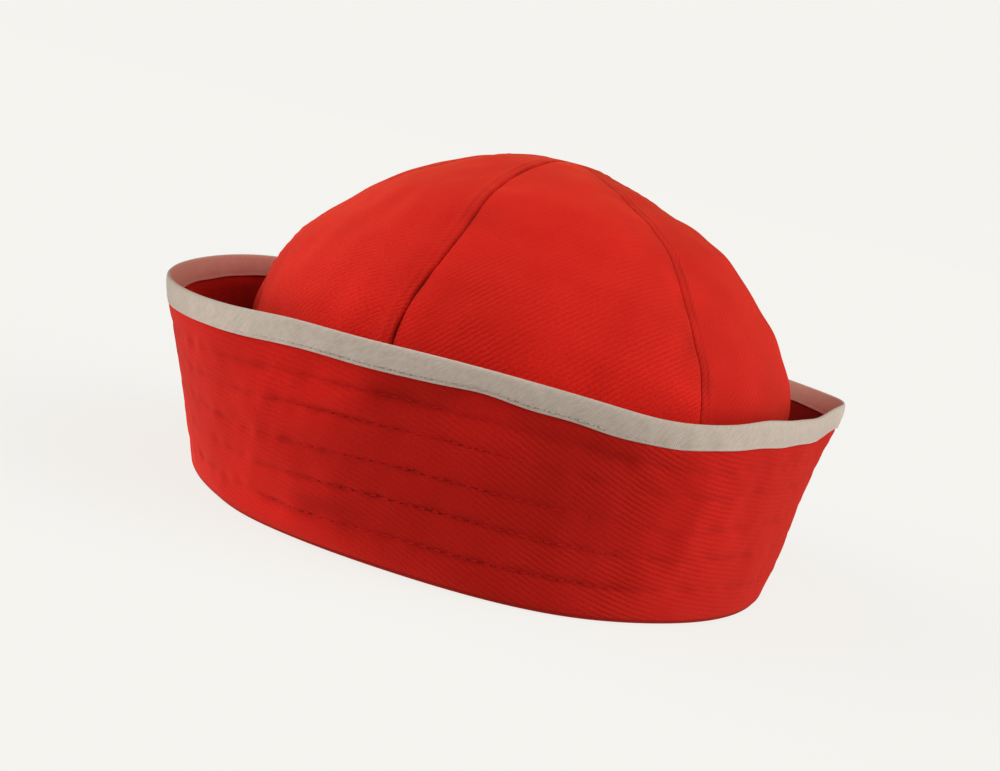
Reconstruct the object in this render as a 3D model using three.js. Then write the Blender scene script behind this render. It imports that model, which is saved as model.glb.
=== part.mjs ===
// Sailor hat of red cotton twill: six crown gores, a turned-up brim and a binding over the brim's edge.
// Millimetres, +Z up. The origin is the centre of the base, on the surface that the hat rests on.
// The front of the hat is at -Y, and angles run from the front towards +X.
import * as THREE from "three";

// Cloth, and the clearance that neighbouring pieces keep
const CROWN_CLOTH = 1.4;
const BRIM_CLOTH = 2.0;
const BRIM_EDGE_CLOTH = 1.2;
const FOOT_CLOTH = 1.4;
const BINDING_CLOTH = 1.0;
const CLEARANCE = 0.3;

// Brim: round where it rests, oval and a little square at its upper edge
const BASE_RADIUS = 82.6;
const BASE_ROUNDING = 2.0;
const FOOT_WIDTH = 6.5;
const EDGE_HEIGHT = 52.4;
const EDGE_RADIUS = 90.6;
const EDGE_OVAL = 7.6;
const EDGE_SQUARE = 2.5;
const ROW_PUFF = 0.35;

// Heights of the rows of stitching that hold the brim's layers together
const STITCH_ROWS = [7.8, 16.8, 25.6, 35.5, 43.2];

// Waves of the brim's edge: how many round the hat, how high, and the angle of a crest
const EDGE_WAVES = [
  { count: 1, height: 0.9, crest: 180 },
  { count: 2, height: 0.45, crest: 135 },
  { count: 3, height: 0.4, crest: 30 },
  { count: 4, height: 1.3, crest: 40 },
];

// Binding: a strip folded over the edge, its depth measured down from the fold
const BINDING_DEPTH = 6.35;
const BINDING_SHOULDER = 0.5;

// Crown: half of its upright section, from the seat on the brim's foot to the top
const CROWN_SEAT = FOOT_CLOTH + CLEARANCE;
const CROWN_SECTIONS = [
  { height: CROWN_SEAT, radius: 78.6 },
  { height: 20, radius: 76.0 },
  { height: 41, radius: 75.0 },
  { height: 57, radius: 72.8 },
  { height: 70, radius: 65.6 },
  { height: 81, radius: 55.0 },
  { height: 89, radius: 44.6 },
  { height: 95.2, radius: 32.0 },
  { height: 100.2, radius: 18.8 },
  { height: 103.2, radius: 0 },
];
const CROWN_LEAN = { x: 0.7, y: 1.0 };
const GORE_FULLNESS = 1.0;
const GORE_TIP_RADIUS = 0.6;

// Seams of the crown: the angle of each, and the gore whose edge lies on top as a raised lap.
// Seam 1 lies between gores 1 and 2, and seam 6 between gores 6 and 1.
const SEAMS = [
  { angle: 29, topGore: 1 },
  { angle: 92, topGore: 3 },
  { angle: 150, topGore: 3 },
  { angle: 210, topGore: 4 },
  { angle: 270, topGore: 6 },
  { angle: 330, topGore: 1 },
];
const LAP_WIDTH = 5;
const LAP_SLOPE = 1.2;
const LAP_RISE = 0.7;
const WIDEST_LAP = 0.24;

// Fineness of the faceted surfaces
const STEPS_ROUND_BRIM = 80;
const STEPS_ROUND_CORNER = 3;
const STEPS_OVER_FOLD = 6;
const ROWS_UP_GORE = 22;
const STEPS_BETWEEN_LAPS = 5;

const RED_TWILL = { color: 0xc02a22, roughness: 0.9, metalness: 0 };
const WHITE_BINDING = { color: 0xe2d7c8, roughness: 0.85, metalness: 0 };

const { degToRad, lerp, clamp, smoothstep } = THREE.MathUtils;

function pointAt(angle, radius, height) {
  return new THREE.Vector3(radius * Math.sin(angle), -radius * Math.cos(angle), height);
}

// Skin over loops of points, each joined to the next. Each loop is walked so that the loop's own direction
// crossed with the direction to the next loop points outwards. A ring of loops closes on itself; a row of
// them is capped at both ends, each point joined to the one opposite it across the loop.
function skin(loops, isRing) {
  const size = loops[0].length;
  const triangles = [];
  const addQuad = (a, b, c, d) => triangles.push(a, b, c, a, c, d);
  const joints = isRing ? loops.length : loops.length - 1;
  for (let row = 0; row < joints; row += 1) {
    const here = row * size;
    const next = ((row + 1) % loops.length) * size;
    for (let k = 0; k < size; k += 1) {
      const after = (k + 1) % size;
      addQuad(here + k, here + after, next + after, next + k);
    }
  }
  if (!isRing) {
    const last = (loops.length - 1) * size;
    for (let k = 0; k + 1 < size / 2; k += 1) {
      const opposite = size - 1 - k;
      addQuad(k + 1, k, opposite, opposite - 1);
      addQuad(last + k, last + k + 1, last + opposite - 1, last + opposite);
    }
  }
  const geometry = new THREE.BufferGeometry().setFromPoints(loops.flat());
  geometry.setIndex(triangles);
  geometry.computeVertexNormals();
  return geometry;
}

function piece(name, geometry, cloth) {
  const mesh = new THREE.Mesh(geometry, new THREE.MeshStandardMaterial(cloth));
  mesh.name = name;
  return mesh;
}

// Brim wall
function edgeRadius(angle) {
  return EDGE_RADIUS + EDGE_OVAL * Math.cos(2 * angle) + EDGE_SQUARE * Math.cos(4 * angle);
}

function edgeHeight(angle) {
  const wave = ({ count, height, crest }) => height * Math.cos(count * (angle - degToRad(crest)));
  return EDGE_WAVES.reduce((sum, row) => sum + wave(row), EDGE_HEIGHT);
}

// Middle line of the brim wall, from the base at share 0 to the edge of the cloth at share 1
function wallMiddle(angle, share) {
  const foot = BASE_RADIUS - BRIM_CLOTH / 2;
  return new THREE.Vector2(lerp(foot, edgeRadius(angle), share), edgeHeight(angle) * share);
}

// Point on the brim wall, moved off the middle line along the wall's outward normal
function wallPoint(angle, share, offset) {
  const middle = wallMiddle(angle, share);
  const along = wallMiddle(angle, 1).sub(wallMiddle(angle, 0)).normalize();
  return pointAt(angle, middle.x + along.y * offset, middle.y - along.x * offset);
}

// Share of the wall that lies a given distance below the edge of the cloth
function shareBelowEdge(angle, distance) {
  return 1 - distance / wallMiddle(angle, 1).distanceTo(wallMiddle(angle, 0));
}

const foldRise = CLEARANCE + BINDING_CLOTH;
const bindingDrop = BINDING_DEPTH - foldRise;
const bindingInside = BRIM_EDGE_CLOTH / 2 + CLEARANCE;
const bindingOutside = bindingInside + BINDING_CLOTH;

// Section of the brim: down its outer face in puffed bands between the stitch rows, round the base, in along
// the foot, and up the inner face
function brimSection(angle) {
  const half = BRIM_CLOTH / 2;
  const halfAtEdge = BRIM_EDGE_CLOTH / 2;
  const thinShare = shareBelowEdge(angle, bindingDrop + CLEARANCE);
  const thickShare = shareBelowEdge(angle, bindingDrop + CLEARANCE + BINDING_SHOULDER);
  const rowShares = STITCH_ROWS.map((height) => height / EDGE_HEIGHT);
  const cornerShare = BASE_ROUNDING / EDGE_HEIGHT;
  const bandEdges = [thickShare, ...rowShares.toReversed(), cornerShare];
  const loop = [wallPoint(angle, 1, halfAtEdge), wallPoint(angle, thinShare, halfAtEdge)];
  for (let band = 0; band + 1 < bandEdges.length; band += 1) {
    const middleShare = (bandEdges[band] + bandEdges[band + 1]) / 2;
    loop.push(wallPoint(angle, bandEdges[band], half));
    loop.push(wallPoint(angle, middleShare, half + ROW_PUFF));
  }
  const cornerCentre = BASE_RADIUS - BASE_ROUNDING;
  for (let k = 0; k <= STEPS_ROUND_CORNER; k += 1) {
    const turn = (k / STEPS_ROUND_CORNER) * (Math.PI / 2);
    const radius = cornerCentre + BASE_ROUNDING * Math.cos(turn);
    loop.push(pointAt(angle, radius, BASE_ROUNDING * (1 - Math.sin(turn))));
  }
  loop.push(pointAt(angle, BASE_RADIUS - FOOT_WIDTH, 0));
  loop.push(pointAt(angle, BASE_RADIUS - FOOT_WIDTH, FOOT_CLOTH));
  loop.push(wallPoint(angle, FOOT_CLOTH / EDGE_HEIGHT, -half));
  loop.push(wallPoint(angle, thickShare, -half));
  loop.push(wallPoint(angle, thinShare, -halfAtEdge), wallPoint(angle, 1, -halfAtEdge));
  return loop;
}

// Section of the binding: a U over the brim's edge with a round fold
function bindingSection(angle) {
  const at = (drop, offset) => wallPoint(angle, shareBelowEdge(angle, drop), offset);
  const loop = [];
  for (let k = 0; k <= STEPS_OVER_FOLD; k += 1) {
    const turn = (k / STEPS_OVER_FOLD) * Math.PI;
    const drop = bindingOutside - foldRise - bindingOutside * Math.sin(turn);
    loop.push(at(drop, -bindingOutside * Math.cos(turn)));
  }
  loop.push(at(bindingDrop, bindingOutside), at(bindingDrop, bindingInside));
  loop.push(at(-CLEARANCE, bindingInside), at(-CLEARANCE, -bindingInside));
  loop.push(at(bindingDrop, -bindingInside), at(bindingDrop, -bindingOutside));
  return loop;
}

function ringOf(section) {
  const angles = Array.from({ length: STEPS_ROUND_BRIM }, (_, k) => (k / STEPS_ROUND_BRIM) * 2 * Math.PI);
  return skin(angles.map(section), true);
}

// Crown: a smooth curve through the sections, carried over the top so that it is level there
const crownProfile = CROWN_SECTIONS.map(({ radius, height }) => new THREE.Vector2(radius, height));
const beforeTop = CROWN_SECTIONS.at(-2);
const crownCurve = new THREE.SplineCurve([
  ...crownProfile,
  new THREE.Vector2(-beforeTop.radius, beforeTop.height),
]);
const topOfCurve = (CROWN_SECTIONS.length - 1) / CROWN_SECTIONS.length;
const crownHeight = CROWN_SECTIONS.at(-1).height;

// Places across a gore, as shares of its width: close together at the laps, even between them
function sharesAcross(lap, slope) {
  const inner = lap + slope;
  const even = Array.from({ length: STEPS_BETWEEN_LAPS + 1 }, (_, k) => {
    return lerp(inner, 1 - inner, k / STEPS_BETWEEN_LAPS);
  });
  return [0, lap, ...even, 1 - lap, 1];
}

// One row of a gore, a loop across its outer face and back across its inner face
function goreRow(gore, share) {
  const { start, end, lapAtStart, lapAtEnd } = gore;
  const onCurve = share * topOfCurve;
  const middle = crownCurve.getPoint(onCurve);
  const along = crownCurve.getTangent(onCurve);
  const arcLength = Math.max(middle.x, GORE_TIP_RADIUS) * (end - start);
  const lap = Math.min(LAP_WIDTH / arcLength, WIDEST_LAP);
  const slope = lap * (LAP_SLOPE / LAP_WIDTH);
  const lean = new THREE.Vector3(CROWN_LEAN.x, CROWN_LEAN.y, 0).multiplyScalar(middle.y / crownHeight);
  const place = (across, offset) => {
    const radius = Math.max(middle.x + along.y * offset, GORE_TIP_RADIUS);
    const margin = Math.asin(CLEARANCE / 2 / radius);
    const angle = lerp(start + margin, end - margin, across);
    const height = Math.max(middle.y - along.x * offset, CROWN_SEAT);
    return pointAt(angle, radius, height).add(lean);
  };
  const outerOffset = (across) => {
    const fullness = GORE_FULLNESS * Math.sin(Math.PI * across) * Math.sin(Math.PI * share);
    const overStart = lapAtStart * (1 - smoothstep(across, lap, lap + slope));
    const overEnd = lapAtEnd * smoothstep(across, 1 - lap - slope, 1 - lap);
    return fullness + LAP_RISE * clamp(overStart + overEnd, 0, 1);
  };
  const shares = sharesAcross(lap, slope);
  const outside = shares.map((across) => place(across, outerOffset(across)));
  const inside = shares.map((across) => place(across, -CROWN_CLOTH));
  return [...outside, ...inside.reverse()];
}

function crownGore(number) {
  const seamBefore = SEAMS.at(number - 2);
  const seamAfter = SEAMS.at(number - 1);
  const gore = {
    start: degToRad(number === 1 ? seamBefore.angle - 360 : seamBefore.angle),
    end: degToRad(seamAfter.angle),
    lapAtStart: seamBefore.topGore === number ? 1 : 0,
    lapAtEnd: seamAfter.topGore === number ? 1 : 0,
  };
  const rows = Array.from({ length: ROWS_UP_GORE + 1 }, (_, k) => goreRow(gore, k / ROWS_UP_GORE));
  return skin(rows, false);
}

const hat = new THREE.Group();
hat.add(piece("brim", ringOf(brimSection), RED_TWILL));
hat.add(piece("brim_binding", ringOf(bindingSection), WHITE_BINDING));
SEAMS.forEach((_, index) => {
  hat.add(piece(`crown_gore_${index + 1}`, crownGore(index + 1), RED_TWILL));
});

export default hat;
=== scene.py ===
"""Sailor hat of red cotton twill: the finished cloth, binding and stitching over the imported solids.

Metres, in the frame of the solids: the origin is the centre of the base, the front is at -Y, and angles run
from the front towards +X.
"""
import functools
import math

import bpy
import numpy as np
from mathutils import Matrix, Vector


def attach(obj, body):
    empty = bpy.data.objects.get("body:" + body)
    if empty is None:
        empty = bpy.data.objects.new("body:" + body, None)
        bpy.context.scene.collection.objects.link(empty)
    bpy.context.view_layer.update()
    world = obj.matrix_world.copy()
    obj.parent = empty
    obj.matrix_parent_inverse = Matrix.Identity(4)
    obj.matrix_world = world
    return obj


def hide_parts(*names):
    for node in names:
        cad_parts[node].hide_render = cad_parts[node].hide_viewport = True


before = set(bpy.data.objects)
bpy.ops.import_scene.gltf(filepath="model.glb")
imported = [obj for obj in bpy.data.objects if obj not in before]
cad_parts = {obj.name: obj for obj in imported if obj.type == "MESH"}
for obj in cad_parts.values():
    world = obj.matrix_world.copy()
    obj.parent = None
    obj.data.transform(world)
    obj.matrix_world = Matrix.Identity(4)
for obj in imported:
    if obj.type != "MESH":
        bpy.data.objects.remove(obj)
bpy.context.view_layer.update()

MM = 0.001
TURN = 2 * math.pi


def table(columns, rows):
    """Rows of values by column name.

    Angles are in degrees. A column whose name ends in _mm is given in millimetres and kept in metres.
    """
    names = columns.split()
    keys = [name.removesuffix("_mm") for name in names]
    units = [MM if name.endswith("_mm") else 1 for name in names]
    return [{key: value * unit for key, value, unit in zip(keys, row, units)} for row in rows]


# Brim, in the sizes of the solids
BASE_RADIUS = 82.6 * MM
BASE_ROUNDING = 1.6 * MM
FOOT_WIDTH = 6.5 * MM
FOOT_CLOTH = 1.4 * MM
FOOT_ROUNDING = 0.4 * MM
BRIM_CLOTH = 2.0 * MM
BRIM_EDGE_CLOTH = 1.2 * MM
EDGE_HEIGHT = 52.4 * MM
EDGE_RADIUS = 90.6 * MM
EDGE_OVAL = 7.6 * MM
EDGE_SQUARE = 2.5 * MM
EDGE_WAVES = table("count height_mm crest", (
    (1, 0.9, 180),
    (2, 0.45, 135),
    (3, 0.4, 30),
    (4, 1.3, 40),
))
EDGE_BULGES = table("angle width size_mm", (
    (-15, 20, 1.2),
    (146, 16, 1.4),
))
BASE_BULGES = table("angle width size_mm", (
    (8, 11, 1.2),
    (38, 18, -1.9),
    (70, 14, 1.2),
    (128, 18, -0.7),
))
EDGE_LIFTS = table("angle width size_mm", (
    (20, 8, 0.75),
    (79, 10, -0.9),
    (100, 6, 0.9),
    (121, 8, -1.2),
))
STITCH_ROWS = np.array([9.4, 18.2, 26.3, 35.3, 42.1]) * MM
ROW_SWAY = 0.45 * MM
ROW_WAVES = table("size count lean phase", (
    (1, 3, -2.2, 0),
    (0.6, 7, 3, 1.0),
))
ROW_DROPS = table("angle width size_mm", (
    (15, 13, -1.8),
))
ROW_SLACK = 0.16
ROW_PULLS = table("angle width height_mm tall_mm size", (
    (35, 22, 34, 15, 0.7),
    (55, 38, 12, 20, 0.75),
    (25, 11, 9, 6, 0.5),
    (215, 45, 26, 50, 0.5),
))
TIGHT_PULL = (0.4, 0.9)
SLACK_SINK = 0.26 * MM
ROW_GROOVE = 0.22 * MM
ROW_WIDTH = 1.1 * MM
ROW_EVEN = 0.9
DRAG_REACH = 2.2 * MM
BAND_PUFF = 0.12 * MM
BAND_ROUNDNESS = 0.8
BASE_SETTLE = 9 * MM
CREASES = table("angle height_mm to_angle to_height_mm width_mm depth_mm", (
    (45, 46, 35, 42, 3.4, 0.65),
    (56, 44, 73, 42, 3.0, 0.6),
    (91, 46, 88, 18, 4.0, -0.35),
))
# Painted shade along the stitch rows, in faint lines along the rest of them, and in the brim's creases
ROW_SHADE = 0.095
LINE_WIDTH = 0.8 * MM
ROW_LINES = table("angle width size", (
    (18, 46, 0.05),
    (92, 20, 0.04),
    (215, 60, 0.07),
))
CREASE_SHADE = 0.33
CREASE_DARKEST = 1.2 * MM
# Painted shade on the brim's base, foot and inner face, with more of it at about 145 degrees round
INSIDE_SHADE = 0.6
INSIDE_PATCHES = table("angle width size", (
    (145, 30, 0.4),
))
BRIM_SWELLS = table("angle width height_mm tall_mm size_mm", (
    (30, 13, 28, 24, 1.5),
    (32, 12, 40, 10, 0.6),
    (26, 12, 5, 4, 0.9),
))
SWELLS_FADE = (37 * MM, 47 * MM)
# Painted shade over the brim's outer face; patches add painted shade, and those of negative size are painted
# light
BRIM_SHADE = 0.305
BRIM_PAINTED_LIGHT_AND_SHADE = table("angle width height_mm tall_mm size", (
    (22, 9, 43, 12, -0.34),
    (16, 9, 9, 14, -0.14),
    (28, 12, 4, 4.5, -0.24),
    (27, 8, 12.4, 2.6, 0.16),
    (88, 14, 28, 40, -0.17),
    (-17, 10, 43, 11, 0.4),
    (62, 9, 28, 12, 0.08),
    (49, 9, 41, 9, -0.19),
    (30, 7, 41, 8, -0.1),
    (-6, 9, 27, 12, 0.13),
    (42, 8, 29, 7, -0.09),
    (59, 8, 45, 5, -0.1),
    (27, 8, 17, 4, -0.08),
))
BRIM_WALES = {"mean": -14, "swing": -10, "turns": 3, "crest": 58}

# Where the rounded base, the foot and the inner face lie on the brim's flat cloth, below its outer face
FLAT_BASE = 3 * MM
FLAT_FOOT = (7 * MM, 9 * MM)
FLAT_INNER = 12 * MM
FLAT_END = 13 * MM

# Binding over the brim's edge
BINDING_DEPTH = 6.35 * MM
BINDING_RISE = 1.3 * MM
BINDING_HALF = 1.42 * MM
BINDING_ROUNDNESS = 2.2
BINDING_GAP = 0.75 * MM
BINDING_SLANT = -45
BINDING_ROW = 0.9 * MM
BINDING_GROOVE = 0.08 * MM
STITCH_LINE = 0.5 * MM
BINDING_LIP = table("drop_mm inset_mm", (
    (0.04, 0.14),
    (0.0, 0.38),
    (0.05, 0.6),
))
LEG_CLEAR = 0.2 * MM
BINDING_TUCK = 0.75 * MM
BOUND_SHARE = 1 - (BINDING_DEPTH - BINDING_RISE - BINDING_TUCK) / EDGE_HEIGHT
BOUND_RUN = 0.035
# Painted shade on the binding, mostly towards its two ends
BINDING_PAINTED_SHADE = table("angle width size", (
    (-14, 21, 0.85),
    (68, 16, 0.22),
    (124, 30, 0.36),
))
# Painted red bounce light on the binding's inner leg, for light thrown back by the red cloth
BINDING_BOUNCE_LIGHT = 0.5
BINDING_SUNK = {"least": 0.02 * MM, "most": 0.45 * MM, "middle": 47, "width": 46}
HEM_LIFTS = table("angle width size_mm", (
    (49, 6, 0.9),
    (101, 6, -0.5),
))

# Crown: half of its upright section from the seat to the top, and its seams
CROWN_CLOTH = 1.2 * MM
CROWN_SECTIONS = table("height_mm radius_mm", (
    (1.7, 78.6),
    (20, 76.0),
    (41, 75.0),
    (57, 72.8),
    (70, 65.6),
    (81, 55.0),
    (89, 44.6),
    (95.2, 32.0),
    (100.2, 18.8),
    (103.2, 0.0),
))
CROWN_LEAN = np.array([0.7, 1.0, 0.0]) * MM
GORE_FULLNESS = 1.0 * MM
CROWN_DENTS = table("angle length_mm width_mm size_mm", (
    (140, 122, 16, -1.2),
    (137, 97, 13, 0.8),
    (136, 48, 16, 1.4),
    (-38, 41, 10, 2.4),
    (-36, 132, 11, -0.7),
    (-33, 103, 11, -0.6),
))
# Patches of painted shade on the crown; those of negative size are painted light
CROWN_PAINTED_LIGHT_AND_SHADE = table("angle length_mm width_mm size", (
    (39, 67, 12, 0.19),
    (34, 91, 6, 0.2),
    (19, 52, 10, -0.2),
    (60, 52, 11, -0.15),
    (75, 51, 9, -0.13),
    (88, 50, 7, -0.2),
    (116, 58, 11, 0.15),
    (92, 82, 6, -0.15),
    (87, 62, 5, 0.14),
    (-19, 60, 10, 0.2),
    (46, 120, 8, 0.11),
    (92, 110, 7, -0.16),
))
# Each seam's shade is painted shade along it, as wide as its spread
SEAMS = table("angle top_gore depth_mm rise_mm shade spread_mm sunk_mm wander_mm wave_mm crest_mm at_top", (
    (29.5, 1, 0.8, 0.22, 0.38, 0.7, 0.28, 1.9, 61.6, 20.8, 0.55),
    (90.1, 3, 0.1, 0.14, 0.14, 3.4, 0.3, 1.6, 61, 158, 0.5),
    (150.0, 3, 0.6, 0.22, 0.2, 1.0, 0.15, 0.7, 61, 40, 0.6),
    (210.0, 4, 0.7, 0.22, 0.25, 1.0, 0.15, 0.8, 74, 92, 0.6),
    (270.0, 6, 0.6, 0.22, 0.2, 1.0, 0.15, 0.7, 58, 66, 0.6),
    (330.0, 1, 0.7, 0.22, 0.25, 1.0, 0.15, 0.8, 70, 30, 0.6),
))
SEAM_WAVES = (0.7, 0.3)
SEAM_FADE = 30 * MM
SEAM_LEAST_RADIUS = 4 * MM
SEAM_EASE = (74 * MM, 86 * MM)
SEAM_PUCKER = {"size": 0.11 * MM, "wave": 8.5 * MM, "drift": 1.6, "drift_wave": 31 * MM, "reach": 4 * MM}
UNDER_PUCKER = 0.6
PUCKER_SEED = 400
GORE_WALES = (48, 41, 40, 44, 38, 42)
LAP_WIDTH = 3.2 * MM
LAP_FALL = (LAP_WIDTH - 1 * MM, LAP_WIDTH + 1.4 * MM)
LAP_NAP_FALL = (LAP_WIDTH, LAP_WIDTH + 1.5 * MM)
LAP_EDGE = 0.8 * MM
LAP_ROW = 2.3 * MM
LAP_ROW_END = 7 * MM
LAP_GROOVE = 0.08 * MM
# How dark the painted shade at the topstitching's needle holes is, and the painted shade along the
# topstitching
LAP_HOLES = 0.7
LAP_SHADE = 0.12
TOP_CLOSING = 14 * MM
TOP_SINK = 0.1 * MM

# Cloth and thread
TWILL_WALE = 1.25 * MM
WALE_HEIGHT = 0.07 * MM
FLOAT_SHARE = 3.0
FLOAT_WIDTH = 0.42 * MM
FLOAT_LENGTH = 1.0 * MM
WORN_PATCH = 14 * MM
BINDING_THREAD = 0.48 * MM
BINDING_WEAVE_HEIGHT = 0.12 * MM
SLUB_WIDTH = 0.7 * MM
SLUB_LENGTH = 2.2 * MM
BRIM_NAP = 0.4
BRIM_NAP_PATCHES = table("angle width size", (
    (74, 20, 0.85),
    (215, 40, 0.4),
))
BRIM_GRAIN = 0.34
BRIM_GRAIN_PATCHES = table("angle width size", (
    (42, 26, 0.16),
    (215, 40, 0.2),
))
GORE_NAP = (0.32, 0.46, 0.2, 0.4, 0.5, 0.45)
GORE_GRAIN = (0.6, 0.42, 0.32, 0.4, 0.4, 0.4)
LAP_NAP = 0.35
FRESH_NAP = 1.6
TOP_WEAR = 1.3
WEAR_LENGTHS = (45 * MM, 110 * MM)
# Painted shade on each gore, and more towards its second seam, high up; painted light takes some away
GORE_SHADE = (0.24, 0.14, 0.38, 0.26, 0.26, 0.26)
LATE_SHADE = (0.0, 0.16, 0.1, 0.0, 0.0, 0.0)
LATE_ACROSS = (0.5, 1)
LATE_LENGTHS = (52 * MM, 75 * MM)
DYE_PATCH = 16 * MM
STITCH_PITCH = 3.0 * MM
BINDING_STITCH_PITCH = 2.4 * MM
STITCH_SHARE = 0.97
THREAD_RADIUS = 0.28 * MM
THREAD_SIDES = 6
THREAD_RINGS = np.array([0, 0.14, 0.3, 0.5, 0.7, 0.86, 1])
STITCH_JITTER = 0.08
STITCH_SKEW = 0.12 * MM
STITCH_SINK = (-0.4, 0.1)
STITCHES_ALIKE = 5

# Unevenness of the cloth: its size, its wavelength, the seed of its waves and how far its height counts
UNEVENNESS = table("name size wavelength_mm seed upright", (
    ("brim_bands", 0.45, 26, 14, 2),
    ("brim_rows", 0.65, 12, 16, 3),
    ("brim_drag", 0.08 * MM, 6, 15, 1),
    ("brim_slow", 0.3 * MM, 48, 11, 1),
    ("brim_quick", 0.08 * MM, 13, 12, 1),
    ("brim_flutes", 0.08 * MM, 16, 13, 0.15),
    ("binding_fine", 0.05 * MM, 6, 21, 1),
    ("binding_broad", 0.07 * MM, 19, 22, 1),
    ("binding_hem", 0.09 * MM, 18, 23, 1),
    ("crown_slow", 0.4 * MM, 46, 31, 1),
    ("crown_quick", 0.1 * MM, 12, 32, 1),
    ("crown_seams", 0.6, 9, 33, 1),
))
UNEVEN_BY_NAME = {row["name"]: row for row in UNEVENNESS}
SWELL_WAVES = 9
SWELL_SPREAD = (0.7, 1.5)

# Camera: where it stands, what it looks at and how far it is rolled
CAMERA_PLACE = Vector((331.1, -251.6, 101.7)) * MM
CAMERA_AIM = Vector((-1.9, -2.5, 37.6)) * MM
CAMERA_ROLL = 13.77
CAMERA_LENS = 53.4
SENSOR_WIDTH = 36


# Shapes shared by the pieces


def place(angle, radius, height):
    """Points at an angle from the front, a radius from the upright axis and a height."""
    return np.stack(np.broadcast_arrays(radius * np.sin(angle), -radius * np.cos(angle), height), axis=-1)


def swell(points, wavelength, seed):
    """Unevenness of cloth, about 1 high: a sum of waves through space with seeded directions and phases."""
    random = np.random.default_rng(seed)
    direction = random.normal(size=(SWELL_WAVES, 3))
    direction /= np.linalg.norm(direction, axis=1, keepdims=True)
    number = TURN / (wavelength * random.uniform(*SWELL_SPREAD, SWELL_WAVES))
    phase = random.uniform(0, TURN, SWELL_WAVES)
    total = np.cos((points @ direction.T) * number + phase).sum(axis=-1)
    return total * math.sqrt(2 / SWELL_WAVES)


def uneven(points, name):
    """One kind of unevenness from the table: a swell of its own size and wavelength."""
    row = UNEVEN_BY_NAME[name]
    return row["size"] * swell(points * (1, 1, row["upright"]), row["wavelength"], row["seed"])


def smooth(value, low, high):
    """0 below low, 1 above high, and an even S-shaped rise between them."""
    share = np.clip((value - low) / (high - low), 0, 1)
    return share * share * (3 - 2 * share)


def bell(distance, width):
    """1 at no distance, and less on both sides: a bell curve of the distance over the width."""
    return np.exp(-((distance / width) ** 2))


def turn_from(angle, degrees):
    """Angle from a place that is given in degrees, the short way round."""
    return (angle - math.radians(degrees) + math.pi) % TURN - math.pi


def bulges(angle, rows):
    """Sum of bell-shaped swellings round the hat, each at its own angle."""
    total = 0 * angle
    for row in rows:
        total = total + row["size"] * bell(turn_from(angle, row["angle"]), math.radians(row["width"]))
    return total


def patches(angle, height, rows):
    """Sum of bell-shaped patches on the brim, each at its own angle and height."""
    total = 0 * (angle + height)
    for row in rows:
        turn = turn_from(angle, row["angle"]) / math.radians(row["width"])
        rise = (height - row["height"]) / row["tall"]
        total = total + row["size"] * np.exp(-(turn**2 + rise**2))
    return total


def edge_radius(angle):
    """Radius of the brim's edge: round, with an oval and a square wave and its bulges added."""
    waves = EDGE_OVAL * np.cos(2 * angle) + EDGE_SQUARE * np.cos(4 * angle)
    return EDGE_RADIUS + waves + bulges(angle, EDGE_BULGES)


def base_radius(angle):
    """Radius of the brim's base on its outside: round, with its bulges added."""
    return BASE_RADIUS + bulges(angle, BASE_BULGES)


def edge_height(angle):
    """Height of the brim's edge: level, with its waves and lifts added."""
    height = EDGE_HEIGHT + 0 * angle
    for wave in EDGE_WAVES:
        height = height + wave["height"] * np.cos(wave["count"] * (angle - math.radians(wave["crest"])))
    return height + bulges(angle, EDGE_LIFTS)


def wall_run(angle):
    """How far the middle of the brim wall goes outwards from the base to the edge of its cloth."""
    return edge_radius(angle) - base_radius(angle) + BRIM_CLOTH / 2


def wall_length(angle):
    """Length of the brim wall from the base to the edge of its cloth, up its slope."""
    return np.hypot(wall_run(angle), edge_height(angle))


def wall_normal(angle):
    """Outward normal of the brim wall: its upward slope turned a quarter turn in the upright plane."""
    return place(angle, edge_height(angle) / wall_length(angle), -wall_run(angle) / wall_length(angle))


def wall_point(angle, share, offset):
    """Point on the brim wall: on the straight line from base to edge, moved out along the wall's normal."""
    foot = base_radius(angle) - BRIM_CLOTH / 2
    middle = place(angle, foot + wall_run(angle) * share, edge_height(angle) * share)
    return middle + wall_normal(angle) * np.broadcast_to(offset, middle.shape[:-1])[..., None]


def crown_profile(share):
    """Crown's upright section as a Catmull-Rom curve through its sections, carried over the top.

    Gives the radius and height, and their slopes along the curve as a unit vector.
    """
    knots = np.array([(row["radius"], row["height"]) for row in CROWN_SECTIONS])
    beyond = knots[-2] * (-1, 1)
    knots = np.vstack([knots[:1], knots, beyond])
    place_on_curve = np.clip(share, 0, 1) * (len(CROWN_SECTIONS) - 1)
    first = np.minimum(place_on_curve.astype(int), len(CROWN_SECTIONS) - 2)
    t = (place_on_curve - first)[..., None]
    a, b, c, d = (knots[first + k] for k in range(4))
    low, high = (c - a) / 2, (d - b) / 2
    cubic, square = 2 * (b - c) + low + high, 3 * (c - b) - 2 * low - high
    point = ((cubic * t + square) * t + low) * t + b
    slope = (3 * cubic * t + 2 * square) * t + low
    slope /= np.linalg.norm(slope, axis=-1, keepdims=True)
    return point[..., 0], point[..., 1], slope[..., 0], slope[..., 1]


PROFILE_STEPS = 2000
PROFILE_SHARES = np.linspace(0, 1, PROFILE_STEPS + 1)
profile_radius, profile_height, _, _ = crown_profile(PROFILE_SHARES)
profile_steps = np.hypot(np.diff(profile_radius), np.diff(profile_height))
PROFILE_LENGTHS = np.concatenate([[0], np.cumsum(profile_steps)])
CROWN_LENGTH = PROFILE_LENGTHS[-1]


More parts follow.
